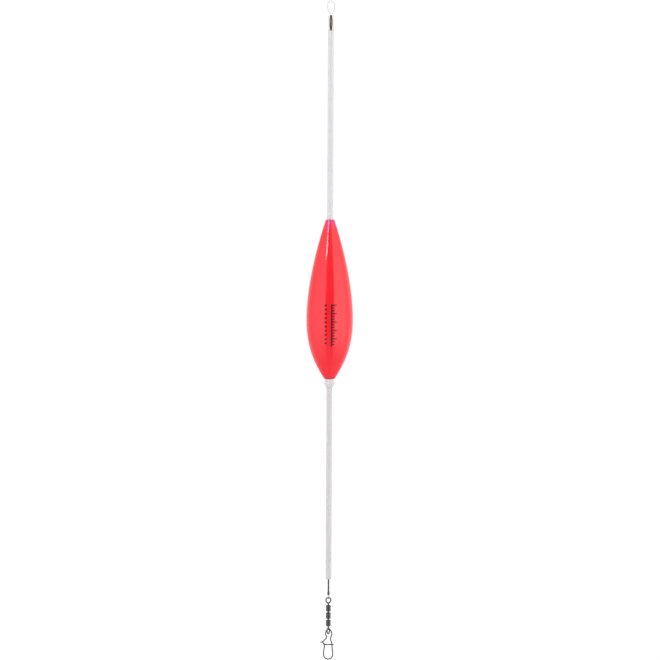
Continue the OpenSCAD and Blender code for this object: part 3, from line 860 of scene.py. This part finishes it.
def barrel(name, node_name, body_name):
    """A swivel barrel: a drawn shell rolled in at both ends, slightly waisted."""
    low, high = span(node_name)
    length = high - low
    outer = reach(node_name)
    hole = bore(node_name)
    waist = 0.06 * MM
    roll = 0.6 * MM
    lip = 0.1 * MM
    outline = [(hole, high - 0.1 * MM), (hole + lip, high), (outer - roll, high)]
    for i in range(1, 9):
        angle = math.pi / 2 * i / 8
        outline.append((outer - roll + roll * math.sin(angle), high - roll + roll * math.cos(angle)))
    for i in range(1, 24):
        share = i / 24
        dip = waist * math.sin(math.pi * share) ** 4
        outline.append((outer - dip, high - roll - (length - 2 * roll) * share))
    for i in range(8, -1, -1):
        angle = math.pi / 2 * i / 8
        outline.append((outer - roll + roll * math.sin(angle), low + roll - roll * math.cos(angle)))
    outline += [(hole + lip, low), (hole, low + 0.1 * MM), (hole, low + BARREL_WALL),
                (outer - BARREL_WALL, low + BARREL_WALL), (outer - BARREL_WALL, high - BARREL_WALL),
                (hole, high - BARREL_WALL)]
    return piece(name, *turned(outline, 64), body_name, node_name, "black_nickel", BLACK_NICKEL, 35)


def link(name, node_name, body_name, upper, lower):
    """The double-headed pin between two barrels."""
    top = span(upper)[0]
    bottom = span(lower)[1]
    past = 0.02 * MM
    mesh = joined(rod(PIN_R, top + past, bottom - past), headed_pin(bottom, 1), headed_pin(top, -1))
    return piece(name, *mesh, body_name, node_name, "black_nickel", BLACK_NICKEL, 60)


# --- snap ---

SNAP_R = 0.31 * MM
WIRE_GAP = 0.1 * MM
LOOP_JOIN = 0.008 * MM
LOOP_HALF = 2.74 * MM
LEG_LEAN = 0.5 * MM
LOOP_SHIFT = -0.05 * MM
BAR_DROP = 9.05 * MM
GATE_X = LOOP_SHIFT - LOOP_HALF + LEG_LEAN
LEG_X = LOOP_SHIFT + LOOP_HALF - LEG_LEAN
WIRE_PASS = 2 * SNAP_R + WIRE_GAP


def snap_levels():
    """Heights of the snap's bow peak, crossbar and loop centre."""
    low, high = span("snap_wire")
    peak = high - SNAP_R
    return peak, peak - BAR_DROP, low + SNAP_R + LOOP_HALF


def snap_hook():
    """The snap's fixed half: its cut tail, the bow through the eye, the fixed leg and half of the loop."""
    peak, bar, loop = snap_levels()
    bow_half = 1.89 * MM
    bow_shift = 0.25 * MM
    bow_h = 3 * MM
    waist_half = 1.215 * MM
    waist = peak - 4.6 * MM
    tail_reach = 2.1 * MM
    tail = bar + 1.15 * MM
    tail_y = WIRE_PASS - WIRE_GAP / 2
    bow = []
    for i in range(13):
        angle = math.radians(-90 + 15 * i)
        bow.append((bow_shift + bow_half * math.sin(angle), 0, peak - bow_h + bow_h * math.cos(angle)))
    route = (
        [(GATE_X - tail_reach, -SNAP_R, tail - SNAP_R / 4),
         (GATE_X - tail_reach, SNAP_R / 2, tail),
         (GATE_X - tail_reach * 0.76, tail_y - WIRE_GAP / 2, tail + SNAP_R / 2),
         (GATE_X - tail_reach * 0.43, tail_y, tail + SNAP_R * 1.6),
         (GATE_X - WIRE_GAP, tail_y - WIRE_GAP, tail + SNAP_R * 4.4),
         (-waist_half - WIRE_GAP, SNAP_R / 2, waist - SNAP_R * 3),
         (-waist_half + bow_shift, 0, waist)]
        + bow
        + [(waist_half + bow_shift + WIRE_GAP, 0, waist),
           (waist_half + bow_shift - WIRE_GAP, 0, waist - SNAP_R * 3.5),
           (LEG_X - WIRE_GAP, 0, bar + SNAP_R * 3),
           (LEG_X, 0, bar),
           (LEG_X + LEG_LEAN / 2, 0, (bar + loop) / 2)]
        + arc_xz(LOOP_SHIFT, loop, LOOP_HALF, 0, -75, 5)
        + [(LOOP_SHIFT + LOOP_JOIN, 0, loop - LOOP_HALF)])
    mesh = wire(smooth_path(route, STEPS), SNAP_R, 20, 0.02)
    return piece("snap_hook", *mesh, "snap", "snap_wire", "snap_steel", SNAP_STEEL, 60)


def snap_gate():
    """The snap's springy half: half of the loop, the leg, its corner bend, and the hooked crossbar."""
    _, bar, loop = snap_levels()
    bar_y = -WIRE_PASS - WIRE_GAP / 2
    hook_x = LEG_X + WIRE_PASS + WIRE_GAP / 2
    corner = 1 * MM
    rise = 1.22 * MM
    route = (
        [(LOOP_SHIFT - LOOP_JOIN, 0, loop - LOOP_HALF)]
        + arc_xz(LOOP_SHIFT, loop, LOOP_HALF, -105, -180, 5)
        + [(GATE_X - LEG_LEAN / 2, 0, (bar + loop) / 2),
           (GATE_X, 0, bar - rise * 0.8),
           (GATE_X - corner * 0.26, bar_y * 0.03, bar + rise * 0.08),
           (GATE_X - corner * 0.7, bar_y * 0.1, bar + rise * 0.7),
           (GATE_X - corner, bar_y * 0.55, bar + rise),
           (GATE_X - corner * 0.7, bar_y, bar + rise * 0.74),
           (GATE_X - corner * 0.15, bar_y, bar + rise * 0.2),
           (GATE_X + corner * 0.4, bar_y, bar),
           (LOOP_SHIFT, bar_y, bar),
           (LEG_X, bar_y, bar),
           (hook_x - WIRE_GAP * 2, bar_y + WIRE_GAP * 2, bar),
           (hook_x, -SNAP_R / 2, bar - WIRE_GAP / 2),
           (hook_x - WIRE_GAP / 2, SNAP_R, bar - WIRE_GAP)])
    mesh = wire(smooth_path(route, STEPS), SNAP_R, 20, 0.02)
    return piece("snap_gate_wire", *mesh, "gate", "snap_gate", "snap_steel", SNAP_STEEL, 60)


# --- the float, piece by piece ---

UPPER_EYE_TURN = 0
LOWER_EYE_TURN = 60

leader()
crimp("upper_crimp", "top_crimp", False, 2, UPPER_CRIMP)
crimp("lower_crimp", "bottom_crimp", True, 3, LOWER_CRIMP)
stopper()
guide_tube("upper_guide_tube", "upper_tube", UPPER_MILKY)
guide_tube("lower_guide_tube", "lower_tube", SHADED_LOWER_MILKY)
tip_bush()
body()
collar()
eye("upper_eye", "swivel_upper_eye", "upper_eye", span("swivel_barrel_1")[1], 1, UPPER_EYE_TURN)
eye("lower_eye", "swivel_lower_eye", "lower_eye", span("swivel_barrel_3")[0], -1, LOWER_EYE_TURN)
for number in (1, 2, 3):
    barrel(f"barrel_{number}", f"swivel_barrel_{number}", f"barrel_{number}")
for number in (1, 2):
    link(f"link_pin_{number}", f"swivel_link_{number}", f"link_{number}",
         f"swivel_barrel_{number}", f"swivel_barrel_{number + 1}")
snap_hook()
snap_gate()
for hidden_node, finish in (("core_tube", WHITE_CORE), ("ballast_sleeve", BALLAST)):
    nodes[hidden_node].data.materials.clear()
    nodes[hidden_node].data.materials.append(finish)


# --- camera, floor and light ---

def camera():
    """A long lens straight in front, level with the middle of the float."""
    distance = 4.0
    frame_height = 396 * MM
    sensor = 36
    middle = Vector((0.22 * MM, 0, -197.3 * MM))
    lean = math.radians(-0.26)
    data = bpy.data.cameras.new("camera")
    data.sensor_width = sensor
    data.lens = sensor * distance / frame_height
    data.clip_start = 0.1
    data.clip_end = 50
    obj = bpy.data.objects.new("camera", data)
    obj.matrix_world = (Matrix.Translation(middle + Vector((0, -distance, 0)))
                        @ Matrix.Rotation(lean, 4, "Y") @ Matrix.Rotation(math.pi / 2, 4, "X"))
    bpy.context.scene.collection.objects.link(obj)
    bpy.context.scene.camera = obj


def floor():
    """A plain pale disc a little below the float."""
    finish = bpy.data.materials.new("pale_floor")
    finish.use_nodes = True
    shader = finish.node_tree.nodes["Principled BSDF"]
    shader.inputs["Base Color"].default_value = (0.86, 0.86, 0.86, 1)
    shader.inputs["Roughness"].default_value = 0.9
    shader.inputs["Emission Color"].default_value = (1, 1, 1, 1)
    shader.inputs["Emission Strength"].default_value = 0.1
    clearance = 0.06
    height = cad_box[0].z - clearance
    radius = 1.1
    sides = 96
    ring = []
    for i in range(sides):
        angle = 2 * math.pi * i / sides
        ring.append((radius * math.cos(angle), radius * math.sin(angle), height))
    mesh = bpy.data.meshes.new("floor")
    mesh.from_pydata(ring, [], [tuple(range(sides))])
    mesh.materials.append(finish)
    obj = bpy.data.objects.new("floor", mesh)
    obj.visible_glossy = False
    bpy.context.scene.collection.objects.link(obj)


def key_strip():
    """A small bright strip, high on the left, that draws the thin white gloss on the body."""
    width, height = 0.26, 0.34
    radiance = 12
    distance = 1.5
    tilt = math.radians(22)
    turn, rise = math.radians(-30), math.radians(32)
    data = bpy.data.lights.new("key_strip", "AREA")
    data.shape = "RECTANGLE"
    data.size = width
    data.size_y = height
    data.energy = radiance * math.pi * width * height
    obj = bpy.data.objects.new("key_strip", data)
    away = Vector((math.sin(turn) * math.cos(rise), -math.cos(turn) * math.cos(rise), math.sin(rise)))
    obj.location = Vector((0, 0, BODY_TOP)) + away * distance
    obj.rotation_euler = (away.to_track_quat("Z", "Y") @ Quaternion((0, 0, 1), tilt)).to_euler()
    obj.visible_camera = False
    bpy.context.scene.collection.objects.link(obj)


PANEL_STOPS = (
    (-180, 0.9), (-108, 0.92), (-90, 1.25), (-68, 1.65), (-27, 1.75), (-17, 0.2),
    (19, 0.2), (29, 2.25), (74, 2.15), (90, 1.5), (104, 1.15), (180, 0.9))


def studio():
    """White all round to the eye; as light, two tall soft panels with a darker gap in front."""
    made = bpy.data.worlds.new("studio")
    bpy.context.scene.world = made
    made.use_nodes = True
    made.node_tree.nodes.clear()
    maker = Maker(made.node_tree)
    brightest = 2.5
    floor_tone = (0.3, 0.3, 0.3, 1)
    sky_tone = (0.36, 0.36, 0.36, 1)
    backdrop = 1.02
    away = maker.add("ShaderNodeTexCoord").outputs["Generated"]
    parts = maker.add("ShaderNodeSeparateXYZ", Vector=away).outputs
    turn = maker.sum("ARCTAN2", parts["X"], maker.sum("MULTIPLY", parts["Y"], -1))
    share = maker.sum("ADD", maker.sum("DIVIDE", turn, 2 * math.pi), 0.5)
    ramp = maker.add("ShaderNodeValToRGB", Fac=share)
    stops = ramp.color_ramp.elements
    while len(stops) < len(PANEL_STOPS):
        stops.new(0.5)
    for stop, (angle, radiance) in zip(stops, PANEL_STOPS):
        stop.position = angle / 360 + 0.5
        level = radiance / brightest
        stop.color = (level, level, level, 1)
    floor_share = maker.ramp(maker.sum("MULTIPLY", parts["Z"], -1), 0.1, 0.8, 0, 0.9)
    sky_share = maker.ramp(parts["Z"], 0.1, 0.9, 0, 0.6)
    lower = maker.blend(floor_share, ramp.outputs["Color"], floor_tone)
    upper = maker.blend(sky_share, lower, sky_tone)
    soft = maker.add("ShaderNodeBackground", Color=upper, Strength=brightest)
    white = maker.add("ShaderNodeBackground", Color=(1, 1, 1, 1), Strength=backdrop)
    path = maker.add("ShaderNodeLightPath").outputs
    mix = maker.add("ShaderNodeMixShader")
    maker.feed(mix.inputs[0], maker.sum("MAXIMUM", path["Is Camera Ray"], path["Is Transmission Ray"]))
    maker.feed(mix.inputs[1], soft.outputs[0])
    maker.feed(mix.inputs[2], white.outputs[0])
    out = maker.add("ShaderNodeOutputWorld")
    maker.feed(out.inputs["Surface"], mix.outputs[0])


camera()
studio()
floor()
key_strip()
bpy.context.scene.view_settings.view_transform = "Standard"
